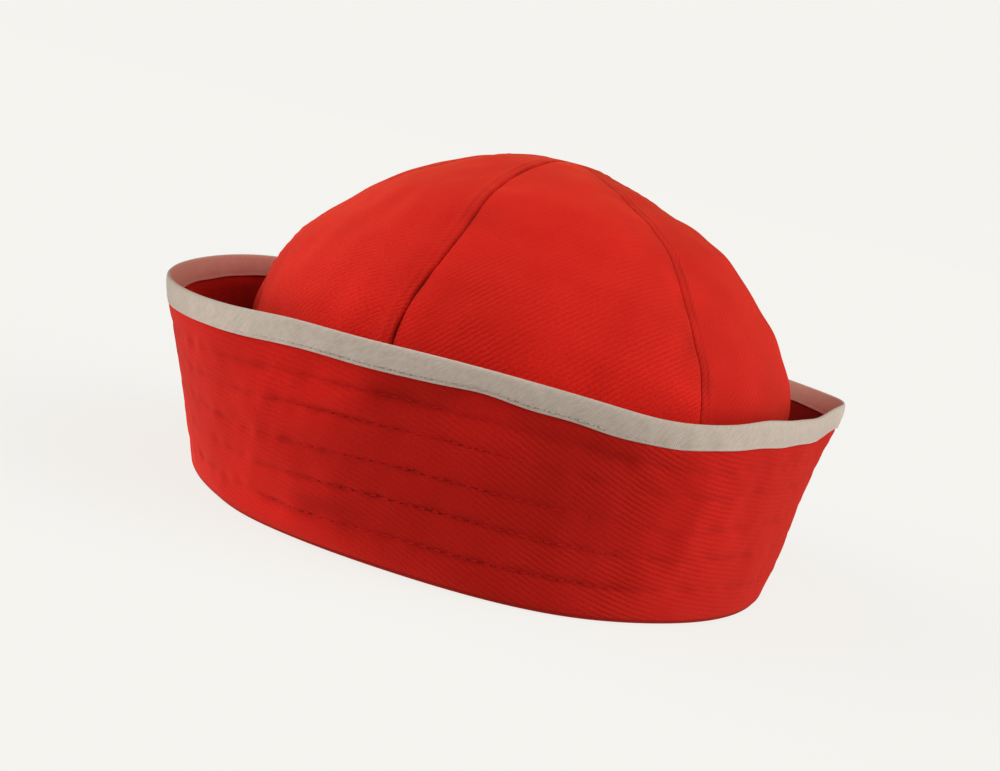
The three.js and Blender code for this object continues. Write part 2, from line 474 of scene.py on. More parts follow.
def crown_point(angle, length, offset):
    """Point on the crown at a length up its section, moved out along the section's normal."""
    share = np.interp(length, PROFILE_LENGTHS, PROFILE_SHARES)
    radius, height, run, rise = crown_profile(share)
    lean = (height / CROWN_SECTIONS[-1]["height"])[..., None] * CROWN_LEAN
    return place(angle, np.maximum(radius + rise * offset, 0), height - run * offset) + lean


def crown_normal(angle, length):
    """Outward normal of the crown: its section's upward slope turned a quarter turn."""
    share = np.interp(length, PROFILE_LENGTHS, PROFILE_SHARES)
    _, _, run, rise = crown_profile(share)
    return place(angle, rise, -run)


# Meshes


def make_piece(name, points, faces, material, uv, marks):
    """Mesh object from points, groups of faces, one row per face, and weave coordinates of their corners.

    marks holds values at each point by name: nap is how far the wales stand out, grain how far single threads
    do, shade how much painted shade darkens the cloth, and the binding's last mark how much painted red
    bounce light it has.
    """
    corners = np.concatenate([group.ravel() for group in faces])
    sizes = np.concatenate([np.full(len(group), group.shape[1]) for group in faces])
    mesh = bpy.data.meshes.new(name)
    mesh.vertices.add(len(points))
    mesh.vertices.foreach_set("co", np.ascontiguousarray(points, dtype=np.float32).ravel())
    mesh.loops.add(len(corners))
    mesh.loops.foreach_set("vertex_index", corners.astype(np.int32))
    mesh.polygons.add(len(sizes))
    mesh.polygons.foreach_set("loop_start", (np.cumsum(sizes) - sizes).astype(np.int32))
    mesh.polygons.foreach_set("use_smooth", np.ones(len(sizes), dtype=bool))
    layer = mesh.uv_layers.new(name="weave")
    layer.data.foreach_set("uv", np.ascontiguousarray(uv, dtype=np.float32).ravel())
    for mark, values in marks.items():
        attribute = mesh.attributes.new(mark, "FLOAT", "POINT")
        attribute.data.foreach_set("value", np.ascontiguousarray(values, dtype=np.float32).ravel())
    mesh.materials.append(material)
    mesh.update(calc_edges=True)
    piece = bpy.data.objects.new(name, mesh)
    bpy.context.scene.collection.objects.link(piece)
    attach(piece, "root")
    return piece


def grid_faces(rows, columns, closed_rows, closed_columns):
    """Quads of a grid, as places in its flattened array and as places in one that repeats the closing lines.

    The first set joins the points, and the second finds the weave's coordinates of each corner.
    """
    row = np.arange(rows if closed_rows else rows - 1)[:, None]
    column = np.arange(columns if closed_columns else columns - 1)[None]
    steps = ((0, 0), (0, 1), (1, 1), (1, 0))
    joined = [((row + r) % rows) * columns + (column + c) % columns for r, c in steps]
    apart = [(row + r) * (columns + closed_columns) + column + c for r, c in steps]
    return [np.stack(corners, axis=-1).reshape(-1, 4) for corners in (joined, apart)]


def ring_piece(name, loops, weave, material, marks):
    """Closed ring: loops of points carried round the hat, the last joined to the first.

    weave holds one more loop, and one more point on each, than loops does.
    """
    rows, columns = loops.shape[:2]
    joined, apart = grid_faces(rows, columns, True, True)
    return make_piece(name, loops.reshape(-1, 3), [joined], material, weave.reshape(-1, 2)[apart], marks)


def shell_piece(name, outside, inside, weave, material, marks):
    """Closed shell: a grid of outer points and one of inner points, joined along all four edges."""
    rows, columns = outside.shape[:2]
    loops = np.concatenate([outside, inside[:, ::-1]], axis=1)
    size = 2 * columns
    joined, _ = grid_faces(rows, size, False, True)
    pair = np.arange(columns - 1)
    opposite = size - 1 - pair
    first = np.stack([pair + 1, pair, opposite, opposite - 1], axis=-1)
    last = np.stack([pair, pair + 1, opposite - 1, opposite], axis=-1) + (rows - 1) * size
    faces = np.concatenate([joined, first, last])
    weave_loops = np.concatenate([weave, weave[:, ::-1]], axis=1).reshape(-1, 2)
    both_sides = {name: np.concatenate([mark, mark[:, ::-1]], axis=1) for name, mark in marks.items()}
    return make_piece(name, loops.reshape(-1, 3), [faces], material, weave_loops[faces], both_sides)


def stitch_piece(name, rows_of_stitches, material):
    """Rows of stitches as one mesh of short threads.

    Each row has a path of points on the cloth, its outward normals, a pitch, how far its threads are sunk,
    and a depth from 0 to 1 for how dark the painted shade at the needle's holes is. Each thread is a tube
    over a part of the path, highest at its middle. Its weave coordinates hold the place along the thread and
    the depth of the painted shade at its holes, which varies by chance in stretches of a few stitches.
    """
    along, rings, sides = THREAD_RINGS, len(THREAD_RINGS), THREAD_SIDES
    arch = np.sin(math.pi * along)
    thin_end, swelling = 0.7, 0.3
    thickness = THREAD_RADIUS * (thin_end + swelling * arch)
    rise, bedding = 0.35, 0.2
    lift = THREAD_RADIUS * (rise * arch - bedding)
    fewest_holes, even_holes = 0.25, (0.5, 1.0)
    closed, opened = 0.15, 0.5
    turn = np.arange(sides) / sides * TURN
    random = np.random.default_rng(len(name))
    tubes, hole_shades = [], []
    for row in rows_of_stitches:
        path, normals = row["path"], row["normals"]
        length = np.concatenate([[0], np.cumsum(np.linalg.norm(np.diff(path, axis=0), axis=1))])
        count = int(length[-1] / row["pitch"])
        jitter = random.uniform(-STITCH_JITTER, STITCH_JITTER, count)
        start = (np.arange(count) + 0.5 + jitter) * length[-1] / count
        where = start[:, None] + (along - 0.5) * row["pitch"] * STITCH_SHARE
        centre = np.stack([np.interp(where, length, path[:, k]) for k in range(3)], axis=-1)
        normal = np.stack([np.interp(where, length, normals[:, k]) for k in range(3)], axis=-1)
        tangent = np.gradient(centre, axis=1)
        tangent /= np.linalg.norm(tangent, axis=-1, keepdims=True)
        side = np.cross(tangent, normal)
        skew = random.normal(0, STITCH_SKEW, count)[:, None] * (along - 0.5)
        sunk = random.uniform(*STITCH_SINK, count) * THREAD_RADIUS - np.interp(start, length, row["sunk"])
        centre = centre + normal * (lift + sunk[:, None])[..., None] + side * skew[..., None]
        spoke = normal[..., None, :] * np.cos(turn)[:, None] + side[..., None, :] * np.sin(turn)[:, None]
        tubes.append(centre[..., None, :] + spoke * thickness[:, None, None])
        stretches = random.uniform(0, 1, count // STITCHES_ALIKE + 2)
        stretch = np.interp(np.arange(count) / STITCHES_ALIKE, np.arange(len(stretches)), stretches)
        holes = fewest_holes + (1 - fewest_holes) * smooth(stretch, closed, opened)
        chance = random.uniform(*even_holes, count) * holes
        hole_shades.append(np.interp(start, length, row["depth"]) * chance)
    tubes, hole_shades = np.concatenate(tubes), np.concatenate(hole_shades)
    count = len(tubes)
    base = (np.arange(count) * rings * sides)[:, None, None]
    quads, _ = grid_faces(rings, sides, False, True)
    quads = (base + quads[None, :, ::-1]).reshape(-1, 4)
    first_cap = (base[..., 0] + np.arange(sides)[None]).reshape(-1, sides)
    last_cap = (base[..., 0] + (rings - 1) * sides + np.arange(sides)[None, ::-1]).reshape(-1, sides)
    faces = [quads, first_cap, last_cap]
    corners = np.concatenate([group.ravel() for group in faces])
    on_thread = np.stack([along[corners // sides % rings], hole_shades[corners // (sides * rings)]], axis=-1)
    return make_piece(name, tubes.reshape(-1, 3), faces, material, on_thread, {})


# Materials


def linear(hex_colour):
    """Linear colour, with alpha, of an sRGB hex value."""
    parts = np.array([int(hex_colour[k : k + 2], 16) for k in (1, 3, 5)]) / 255
    curve = np.where(parts <= 0.04045, parts / 12.92, ((parts + 0.055) / 1.055) ** 2.4)
    return (*curve, 1.0)


def add_node(tree, kind, settings=None, inputs=None):
    """Shader node of a kind with its settings.

    Each input is a value, another node's output to link, or a node, whose first output in use is linked.
    """
    node = tree.nodes.new("ShaderNode" + kind)
    for name, value in (settings or {}).items():
        setattr(node, name, value)
    for name, value in (inputs or {}).items():
        if isinstance(value, bpy.types.Node):
            value = next(output for output in value.outputs if output.enabled)
        if isinstance(value, bpy.types.NodeSocket):
            tree.links.new(value, node.inputs[name])
        else:
            node.inputs[name].default_value = value
    return node


def new_material(name):
    """Empty node material, and the function that adds nodes to it."""
    material = bpy.data.materials.new(name)
    material.use_nodes = True
    material.node_tree.nodes.clear()
    return material, functools.partial(add_node, material.node_tree)


def wave_scale(length):
    """Scale of a wave texture whose bands repeat after a length. At scale 1 it runs 20 radians to a unit."""
    radians_to_a_unit = 20
    return TURN / (radians_to_a_unit * length)


def red_twill(name, painted_shade_colour, groove, deep, light, fuzz):
    """Cotton drill, piece-dyed red: slanting wales that catch the light, and a matte, slightly fuzzy face.

    The wales are worn flatter in patches, and the floats of single threads break them up. The colours are
    those of the painted shade in creases, along stitch rows and seams and in patches, of the grooves between
    the wales, painted darker as painted shade, and of the deepest and lightest patches of the dye. fuzz is
    the weight of the sheen.
    """
    material, add = new_material(name)
    weave = add("UVMap", {"uv_map": "weave"})
    marks = {
        mark: add("Attribute", {"attribute_name": mark}).outputs["Fac"]
        for mark in ("nap", "grain", "shade")
    }
    wales = add("TexWave", {"wave_type": "BANDS", "bands_direction": "X"}, {
        "Vector": weave,
        "Scale": wave_scale(TWILL_WALE),
        "Distortion": 1.8,
        "Detail": 2.0,
        "Detail Scale": 1.6,
    })
    floats = add("TexNoise", {"noise_dimensions": "2D"}, {
        "Vector": add("Mapping", {}, {
            "Vector": weave,
            "Scale": (1 / FLOAT_WIDTH, 1 / FLOAT_LENGTH, 1),
        }),
        "Scale": 1.0,
        "Detail": 3.0,
    })
    dye_patches = add("TexNoise", {"noise_dimensions": "3D"}, {
        "Vector": add("TexCoord").outputs["Object"],
        "Scale": 1 / DYE_PATCH,
        "Detail": 6.0,
        "Roughness": 0.62,
    })
    worn = add("MapRange", {}, {
        "Value": add("TexNoise", {"noise_dimensions": "2D"}, {
            "Vector": weave,
            "Scale": 1 / WORN_PATCH,
            "Detail": 3.0,
        }),
        "From Min": 0.35,
        "From Max": 0.65,
        "To Min": 0.4,
        "To Max": 1.3,
    })
    nap = add("Math", {"operation": "MULTIPLY"}, {0: marks["nap"], 1: worn})
    single_threads = add("MapRange", {"clamp": False}, {
        "Value": floats,
        "To Min": -FLOAT_SHARE / 2,
        "To Max": FLOAT_SHARE / 2,
    })
    grain = add("Math", {"operation": "MULTIPLY"}, {0: marks["grain"], 1: single_threads})
    centred = add("Math", {"operation": "SUBTRACT"}, {0: wales.outputs["Fac"], 1: 0.5})
    relief = add("Math", {"operation": "MULTIPLY_ADD"}, {0: centred, 1: nap, 2: grain})
    dye = add("Mix", {"data_type": "RGBA"}, {
        "Factor": add("MapRange", {}, {"Value": dye_patches, "From Min": 0.25, "From Max": 0.75}),
        6: linear(deep),
        7: linear(light),
    })
    # The grooves between the wales are painted darker, as painted shade
    colour = add("Mix", {"data_type": "RGBA"}, {
        "Factor": add("MapRange", {}, {"Value": relief, "From Min": -0.9, "From Max": 0.6}),
        6: linear(groove),
        7: dye,
    })
    # Painted shade, as much as the shade mark gives
    shaded = add("Mix", {"data_type": "RGBA"}, {"Factor": marks["shade"], 6: colour, 7: linear(painted_shade_colour)})
    bump = add("Bump", {}, {"Strength": 1.0, "Distance": WALE_HEIGHT, "Height": relief})
    cloth = add("BsdfPrincipled", {}, {
        "Base Color": shaded,
        "Roughness": 0.9,
        "Specular IOR Level": 0.12,
        "Specular Tint": linear("#FFDC90"),
        "Sheen Weight": fuzz,
        "Sheen Roughness": 0.4,
        "Sheen Tint": linear("#FFDE88"),
        "Normal": bump,
    })
    add("OutputMaterial", {}, {"Surface": cloth})
    return material


def white_binding():
    """Cotton bias binding, plain woven and undyed: a fine slanting weave, matte and slightly grey.

    Its threads are thick and thin by turns. It has painted shade in places, mostly towards its two ends, and
    painted red bounce light on its inner leg, where the red cloth throws light back.
    """
    material, add = new_material("undyed_cotton_binding")
    weave = add("UVMap", {"uv_map": "weave"})
    threads = [
        add("TexWave", {"wave_type": "BANDS", "bands_direction": direction}, {
            "Vector": weave,
            "Scale": wave_scale(BINDING_THREAD),
            "Distortion": 2.0,
            "Detail": 2.0,
        }).outputs["Fac"]
        for direction in ("X", "Y")
    ]
    relief = add("Math", {"operation": "MULTIPLY"}, {0: threads[0], 1: threads[1]})
    slubs = add("TexNoise", {"noise_dimensions": "2D"}, {
        "Vector": add("Mapping", {}, {"Vector": weave, "Scale": (1 / SLUB_WIDTH, 1 / SLUB_LENGTH, 1)}),
        "Scale": 1.0,
        "Detail": 4.0,
        "Roughness": 0.65,
    })
    thick = add("MapRange", {}, {"Value": slubs, "From Min": 0.25, "From Max": 0.75})
    shade_mark, stain = (
        add("Attribute", {"attribute_name": mark}).outputs["Fac"]
        for mark in ("shade", "stain")
    )
    colour = linear("#C4B3A2")
    # The slubs are the threads' own colour; then come painted shade and painted red bounce light
    for factor, over in ((thick, "#D6C7B8"), (shade_mark, "#8F8275"), (stain, "#D8745C")):
        colour = add("Mix", {"data_type": "RGBA"}, {"Factor": factor, 6: colour, 7: linear(over)})
    bump = add("Bump", {}, {"Strength": 0.55, "Distance": BINDING_WEAVE_HEIGHT, "Height": relief})
    cloth = add("BsdfPrincipled", {}, {
        "Base Color": colour,
        "Roughness": 0.9,
        "Specular IOR Level": 0.2,
        "Normal": bump,
    })
    add("OutputMaterial", {}, {"Surface": cloth})
    return material


def sewing_thread(name, sunk, top):
    """Spun cotton sewing thread: close to the cloth on top, and dark at both ends, at the needle's holes."""
    material, add = new_material(name)
    on_thread = add("SeparateXYZ", {}, {"Vector": add("UVMap", {"uv_map": "weave"})})
    from_middle = add("Math", {"operation": "SUBTRACT"}, {0: on_thread.outputs["X"], 1: 0.5})
    # Painted shade at the needle's holes: the thread darkens towards both ends
    to_end = add("MapRange", {"interpolation_type": "SMOOTHSTEP"}, {
        "Value": add("Math", {"operation": "ABSOLUTE"}, {0: from_middle}),
        "From Min": 0.18,
        "From Max": 0.31,
        "To Max": on_thread.outputs["Y"],
    })
    colour = add("Mix", {"data_type": "RGBA"}, {"Factor": to_end, 6: linear(top), 7: linear(sunk)})
    thread = add("BsdfPrincipled", {}, {
        "Base Color": colour,
        "Roughness": 0.9,
        "Specular IOR Level": 0.1,
    })
    add("OutputMaterial", {}, {"Surface": thread})
    return material


def turned(across, up, degrees):
    """Weave coordinates: flat cloth coordinates turned so that the first runs across the wales."""
    angle = math.radians(degrees)
    return np.stack([
        up * math.cos(angle) - across * math.sin(angle),
        across * math.cos(angle) + up * math.sin(angle),
    ], axis=-1)


# Brim

RING_START = math.pi
BRIM_STEPS = 880
NEAR_ROW = np.array([-1.6, -0.95, -0.45, 0, 0.45, 0.95, 1.6]) * MM
BETWEEN_ROWS = np.linspace(0, 1, 8)[2:-2]
BOUND_SHARES = [0.95, 1.0]
BASE_STEPS = 8
INNER_STEPS = 26


def ring_angles(steps):
    """Angles of even steps once round the hat, from the back to the back again."""
    return RING_START + np.arange(steps + 1)[:, None] / steps * TURN


brim_angles = ring_angles(BRIM_STEPS)


def distance_round(angle):
    """Distance round the brim at half its height, from the first angle of the ring."""
    middle = place(angle[:, 0], (BASE_RADIUS + edge_radius(angle[:, 0])) / 2, 0.0)
    steps = np.linalg.norm(np.diff(middle, axis=0), axis=1)
    return np.concatenate([[0], np.cumsum(steps)])[:, None]


def brim_weave(angle, up):
    """Weave coordinates of the brim, across and along its wales, whose slant drifts round the brim."""
    drift = np.cos(BRIM_WALES["turns"] * (angle - math.radians(BRIM_WALES["crest"])))
    slant = np.radians(BRIM_WALES["mean"] + BRIM_WALES["swing"] * drift)
    round_brim = distance_round(angle)
    across = up * np.cos(slant) - np.cumsum(np.sin(slant) * np.gradient(round_brim, axis=0), axis=0)
    along = round_brim + up * np.sin(slant)
    return np.stack([across, along], axis=-1)


def row_pull(angle, height):
    """How tightly the stitch rows are drawn in, from 0 to about 1: slack, with a few tight patches."""
    return ROW_SLACK + patches(angle, height, ROW_PULLS)


def crease_relief(angle, height):
    """Sum of creases: each falls off as a bell from a straight line between two places on the brim."""
    total = 0 * (angle + height)
    for row in CREASES:
        run = math.radians(row["to_angle"] - row["angle"]) * BASE_RADIUS
        rise = row["to_height"] - row["height"]
        round_brim = turn_from(angle, row["angle"]) * BASE_RADIUS
        up = height - row["height"]
        share = np.clip((round_brim * run + up * rise) / (run**2 + rise**2), 0, 1)
        away = np.hypot(round_brim - share * run, up - share * rise)
        total = total - row["depth"] * bell(away, row["width"])
    return total


def to_stitch_row(height):
    """Distance from a height on the brim to the nearest stitch row."""
    return np.abs(height[..., None] - STITCH_ROWS).min(axis=-1)


def row_line(height, points, width):
    """Bell about each stitch row, uneven along it."""
    strength = np.clip(ROW_EVEN + uneven(points, "brim_rows"), 0, 2)
    return strength * bell(to_stitch_row(height), width)


def row_dip(angle, height, points):
    """How strongly the stitch rows draw the cloth in: their lines, by how tightly each place is drawn."""
    return row_pull(angle, height) * row_line(height, points, ROW_WIDTH)


def brim_shade(angle, share):
    """How much darker the brim's outer cloth is.

    It is painted darker, as painted shade, where the stitch rows are drawn in, in faint lines along the rest
    of them, in its creases and in patches; patches of negative size take some away again, as painted light.
    """
    height = share * EDGE_HEIGHT
    points = wall_point(angle, share + 0 * angle, 0.0)
    creases = np.maximum(-crease_relief(angle, height), 0) / CREASE_DARKEST
    shade = BRIM_SHADE + patches(angle, height, BRIM_PAINTED_LIGHT_AND_SHADE) + CREASE_SHADE * creases
    lines = bulges(angle, ROW_LINES) * row_line(height, points, LINE_WIDTH)
    return np.clip(shade + lines + ROW_SHADE * row_dip(angle, height, points), 0, 1)


def brim_relief(angle, share, side):
    """How far the brim's cloth stands off its wall on one side.

    Bands puff up between the stitch rows, each row is drawn into a groove and drags the cloth beside it, and
    the whole cloth is uneven and has a few creases. Broad swells fade out towards the binding.
    """
    height = share * EDGE_HEIGHT
    points = wall_point(angle, share + 0 * angle, 0.0)
    edges = np.concatenate([[0], STITCH_ROWS, [EDGE_HEIGHT]])
    band = np.clip(np.searchsorted(edges, height, side="right") - 1, 0, len(edges) - 2)
    within = (height - edges[band]) / (edges[band + 1] - edges[band])
    fullness = 1 + uneven(points, "brim_bands")
    puff = BAND_PUFF * fullness * np.sin(math.pi * np.clip(within, 0, 1)) ** BAND_ROUNDNESS
    groove = ROW_GROOVE * row_dip(angle, height, points)
    drag = uneven(points, "brim_drag") * bell(to_stitch_row(height), DRAG_REACH)
    slow = uneven(points, "brim_slow") + crease_relief(angle, height)
    slow = slow + patches(angle, height, BRIM_SWELLS) * (1 - smooth(height, *SWELLS_FADE))
    settled = smooth(height, 0, BASE_SETTLE)
    shared = side * (slow + uneven(points, "brim_flutes")) * settled
    return puff - groove + drag + shared + uneven(points, "brim_quick") * settled


def row_sway(angle, share):
    """Height by which the stitching wanders on its way round, none at the base and the edge.

    It is a sum of waves round the brim, which lean as they rise, and of drops at a few angles.
    """
    waves = 0
    for row in ROW_WAVES:
        waves = waves + row["size"] * np.cos(row["count"] * angle + row["lean"] * share + row["phase"])
    return (ROW_SWAY * waves + bulges(angle, ROW_DROPS)) * np.sin(math.pi * np.clip(share, 0, 1))


def brim_shares(low, high):
    """Shares of the brim's height from low to high: close together at each stitch row, even between rows."""
    near = (NEAR_ROW + STITCH_ROWS[:, None]).ravel()
    edges = np.concatenate([[low * EDGE_HEIGHT], STITCH_ROWS, [high * EDGE_HEIGHT]])
    between = (edges[:-1, None] + np.diff(edges)[:, None] * BETWEEN_ROWS).ravel()
    heights = np.unique(np.concatenate([near, between, edges[[0, -1]]]))
    return heights / EDGE_HEIGHT


def brim_face(angle, share, side):
    """Points of one face of the brim: off its wall by its relief, and thinner where the binding covers it."""
    half = BRIM_CLOTH / 2
    thin = smooth(share, BOUND_SHARE - BOUND_RUN, BOUND_SHARE)
    offset = half + brim_relief(angle, share, side) * (1 - thin) - thin * (half - BRIM_EDGE_CLOTH / 2)
    return wall_point(angle, share + row_sway(angle, share) / EDGE_HEIGHT, side * offset)


def make_brim(material):
    """Brim: a section carried round the hat.

    The section runs down the outer face, round the base, in along the foot and up the inner face.
    """
    angle = brim_angles[:-1]
    upward = brim_shares(BASE_ROUNDING / EDGE_HEIGHT, BOUND_SHARE)
    down = np.concatenate([upward, BOUND_SHARES])[None, ::-1]
    turn = np.linspace(0, math.pi / 2, BASE_STEPS)[None, 1:]
    rounding_centre = base_radius(angle) - BASE_ROUNDING
    base_height = BASE_ROUNDING * (1 - np.sin(turn))
    base = place(angle, rounding_centre + BASE_ROUNDING * np.cos(turn), base_height)
    tip = BASE_RADIUS - FOOT_WIDTH
    foot_radius = np.array([[tip + FOOT_ROUNDING, tip, tip, tip + FOOT_ROUNDING]])
    foot_height = np.array([[0, FOOT_ROUNDING, FOOT_CLOTH - FOOT_ROUNDING, FOOT_CLOTH]])
    foot = place(angle, foot_radius, foot_height)
    inner_shares = np.linspace(FOOT_CLOTH / EDGE_HEIGHT, BOUND_SHARE, INNER_STEPS)
    up = np.concatenate([inner_shares, BOUND_SHARES])[None]
    loops = np.concatenate([brim_face(angle, down, 1), base, foot, brim_face(angle, up, -1)], axis=1)
    lower_fold = -EDGE_HEIGHT / 2
    heights = np.concatenate([
        (down[0] - 0.5) * EDGE_HEIGHT,
        lower_fold - np.linspace(0, FLAT_BASE, turn.size),
        lower_fold - np.linspace(*FLAT_FOOT, foot_radius.size),
        lower_fold - FLAT_INNER - up[0] * EDGE_HEIGHT,
        [lower_fold - EDGE_HEIGHT - FLAT_END],
    ])
    # Painted shade on the base, the foot and the inner face
    hidden = INSIDE_SHADE + bulges(angle, INSIDE_PATCHES) + np.zeros((1, loops.shape[1] - down.size))
    marks = {
        "nap": np.broadcast_to(BRIM_NAP + bulges(angle, BRIM_NAP_PATCHES), loops.shape[:2]),
        "grain": np.broadcast_to(BRIM_GRAIN + bulges(angle, BRIM_GRAIN_PATCHES), loops.shape[:2]),
        "shade": np.concatenate([brim_shade(angle, down), hidden], axis=1),
    }
    return ring_piece("brim_cloth", loops, brim_weave(brim_angles, heights[None]), material, marks)


def brim_stitch_rows(side):
    """Lines of stitching on one face of the brim, with the wall's normals turned to that face."""
    rows = []
    for height in STITCH_ROWS:
        share = np.full_like(brim_angles, height / EDGE_HEIGHT)
        offset = side * (BRIM_CLOTH / 2 + brim_relief(brim_angles, share, side))
        path = wall_point(brim_angles, share + row_sway(brim_angles, share) / EDGE_HEIGHT, offset)[:, 0]
        pull = row_pull(brim_angles[:, 0], height)
        rows.append({
            "path": path,
            "normals": side * wall_normal(brim_angles)[:, 0],
            "pitch": STITCH_PITCH,
            "sunk": SLACK_SINK * (1 - smooth(pull, *TIGHT_PULL)),
            "depth": np.minimum(pull, 1),
        })
    return rows


# Binding

BINDING_STEPS = 900
LEG_STEPS = 20
LEG_BEND = math.pi / 2 * 0.8
LEG_EASE = 0.35
binding_angles = ring_angles(BINDING_STEPS)


def binding_half(angle, drop):
    """Half thickness of the bound edge a distance below the brim's own edge.

    It swells from nothing at the fold as a long half oval does, puckered, and drawn in at its stitching.
    """
    points = wall_point(angle, 1 - drop / EDGE_HEIGHT, 0.0)
    pucker = uneven(points, "binding_fine") + uneven(points, "binding_broad")
    groove = BINDING_GROOVE * bell(drop - (hem_drop(angle) - BINDING_ROW), STITCH_LINE)
    up = np.clip(1 - (drop + BINDING_RISE) / BINDING_DEPTH, 0, 1)
    oval = BINDING_HALF * np.sqrt(1 - up**BINDING_ROUNDNESS)
    return oval + (pucker - groove) * smooth(drop, -BINDING_RISE, BINDING_RISE)


def hem_drop(angle):
    """Distance from the brim's own edge down to the binding's lower edge, which is not cut quite even."""
    ragged = uneven(wall_point(angle, 1.0, 0.0), "binding_hem")
    return BINDING_DEPTH - BINDING_RISE + ragged - bulges(angle, HEM_LIFTS)


def binding_point(angle, drop, offset):
    """Point of the binding: a distance down from the brim's own edge and out from the middle of its wall."""
    return wall_point(angle, 1 - drop / wall_length(angle), offset)


def make_binding(material):
    """Binding: a U-shaped section carried round the brim's edge.

    The section runs over the fold, down the outer leg, up between the legs and down and up the inner leg.
    """
    angle = binding_angles[:-1]
    low = hem_drop(angle)
    share = np.sin(np.linspace(0, 1, LEG_STEPS)[None, 1:] * LEG_BEND) / math.sin(LEG_BEND)
    share = share**2 * LEG_EASE + share * (1 - LEG_EASE)
    leg_drop = -BINDING_RISE + (low + BINDING_RISE - LEG_CLEAR) * share
    lip_drop = low - np.array([row["drop"] for row in BINDING_LIP])
    lip_offset = BINDING_HALF - np.array([row["inset"] for row in BINDING_LIP]) + 0 * angle
    half_drop = np.concatenate([leg_drop, lip_drop], axis=1)
    half_offset = np.concatenate([binding_half(angle, leg_drop), lip_offset], axis=1)
    fold = 0 * angle
    inside = np.array([[BINDING_GAP, -BINDING_GAP]]) + fold
    drop = np.concatenate([fold - BINDING_RISE, half_drop, 0 * inside, half_drop[:, ::-1]], axis=1)
    offset = np.concatenate([fold, half_offset, inside, -half_offset[:, ::-1]], axis=1)
    loops = binding_point(angle, drop, offset)
    steps = np.linalg.norm(np.diff(loops, axis=1, append=loops[:, :1]), axis=-1).mean(axis=0)
    girth = np.concatenate([[0], np.cumsum(steps)])[None]
    weave = turned(distance_round(binding_angles), girth, BINDING_SLANT)
    inner = np.arange(loops.shape[1]) >= loops.shape[1] - leg_drop.shape[1]
    # Painted shade round the binding, and painted red bounce light on its inner leg
    marks = {
        "shade": np.broadcast_to(bulges(angle, BINDING_PAINTED_SHADE), loops.shape[:2]),
        "stain": np.broadcast_to(BINDING_BOUNCE_LIGHT * inner, loops.shape[:2]),
    }
    return ring_piece("binding_cloth", loops, weave, material, marks)


def binding_stitch_rows():
    """Line of stitching near the binding's lower edge, on both legs: sunk, but less so at one part."""
    drop = hem_drop(binding_angles) - BINDING_ROW
    offset = binding_half(binding_angles, drop)
    normals = wall_normal(binding_angles)[:, 0]
    proud = bulges(binding_angles[:, 0], [{
        "angle": BINDING_SUNK["middle"],
        "width": BINDING_SUNK["width"],
        "size": BINDING_SUNK["most"] - BINDING_SUNK["least"],
    }])
    sunk = BINDING_SUNK["most"] - proud
    return [
        {
            "path": binding_point(binding_angles, drop, side * offset)[:, 0],
            "normals": side * normals,
            "pitch": BINDING_STITCH_PITCH,
            "sunk": sunk,
            "depth": np.ones(len(normals)),
        }
        for side in (1, -1)
    ]


# Crown

GORE_COLUMNS = 100
GORE_ROWS = 170
EVEN_SHARE = 0.3
TIP_GAP = 0.02 * MM
LEAST_CLOSING = 1e-4
SEAM_STEPS = 400


def seam_angle(number, length):
    """Angle of a seam at a length up the crown: straight up, with a slow wave where the sewing wandered."""
    seam = SEAMS[number - 1]
    phase = TURN * (length - seam["crest"]) / seam["wave"]
    wander = seam["wander"] * (SEAM_WAVES[0] * np.cos(phase) + SEAM_WAVES[1] * np.cos(phase / 2))
    fading = smooth(CROWN_LENGTH - length, 0, SEAM_FADE)
    radius = np.maximum(radius_at(length), SEAM_LEAST_RADIUS)
    return math.radians(seam["angle"]) + wander * fading / radius


def seam_ease(number, length):
    """Share of a seam's depth and shade that is left at a length up the crown: all, but less near the top."""
    at_top = SEAMS[number - 1]["at_top"]
    return 1 - (1 - at_top) * smooth(length, *SEAM_EASE)


def lap_relief(distance, length, is_top, number):
    """How far a gore's edge stands up or dips, by the distance from its seam.

    Both edges turn in to the seam and pucker. The top gore lies over both turned edges, so it stands up as a
    lap, which is drawn in along its topstitching.
    """
    depth, rise = SEAMS[number - 1]["depth"] * seam_ease(number, length), SEAMS[number - 1]["rise"]
    lap = rise * (1 - smooth(distance, *LAP_FALL))
    edge = np.clip(1 - distance / LAP_EDGE, 0, 1)
    folded = 1 - np.sqrt(1 - edge**2)
    row = -LAP_GROOVE * bell(distance - LAP_ROW, STITCH_LINE)
    phase = np.random.default_rng(PUCKER_SEED + number).uniform(0, TURN)
    drift = SEAM_PUCKER["drift"] * np.sin(TURN * length / SEAM_PUCKER["drift_wave"] + phase)
    beat = TURN * length / SEAM_PUCKER["wave"] + drift
    pucker = SEAM_PUCKER["size"] * np.sin(beat) * np.exp(-distance / SEAM_PUCKER["reach"])
    top = lap - (rise + depth) * folded + row + pucker
    under = -depth * folded + UNDER_PUCKER * pucker
    return np.where(is_top, top, under)


def seam_before(number):
    """Number of the seam where a gore begins. It ends at the seam that has its own number."""
    return (number - 2) % len(SEAMS) + 1


def gore_span(number, length):
    """Angle where a gore begins at a length up the crown, and the angle that it takes up from there."""
    start = seam_angle(seam_before(number), length)
    return start, (seam_angle(number, length) - start) % TURN


def gore_seams(number, across, length):
    """The two seams of a gore: the number of each, the distance to it, and whether the gore laps over it."""
    _, spread = gore_span(number, length)
    width = radius_at(length) * spread
    distances = ((seam_before(number), across * width), (number, (1 - across) * width))
    return [(seam, distance, SEAMS[seam - 1]["top_gore"] == number) for seam, distance in distances]


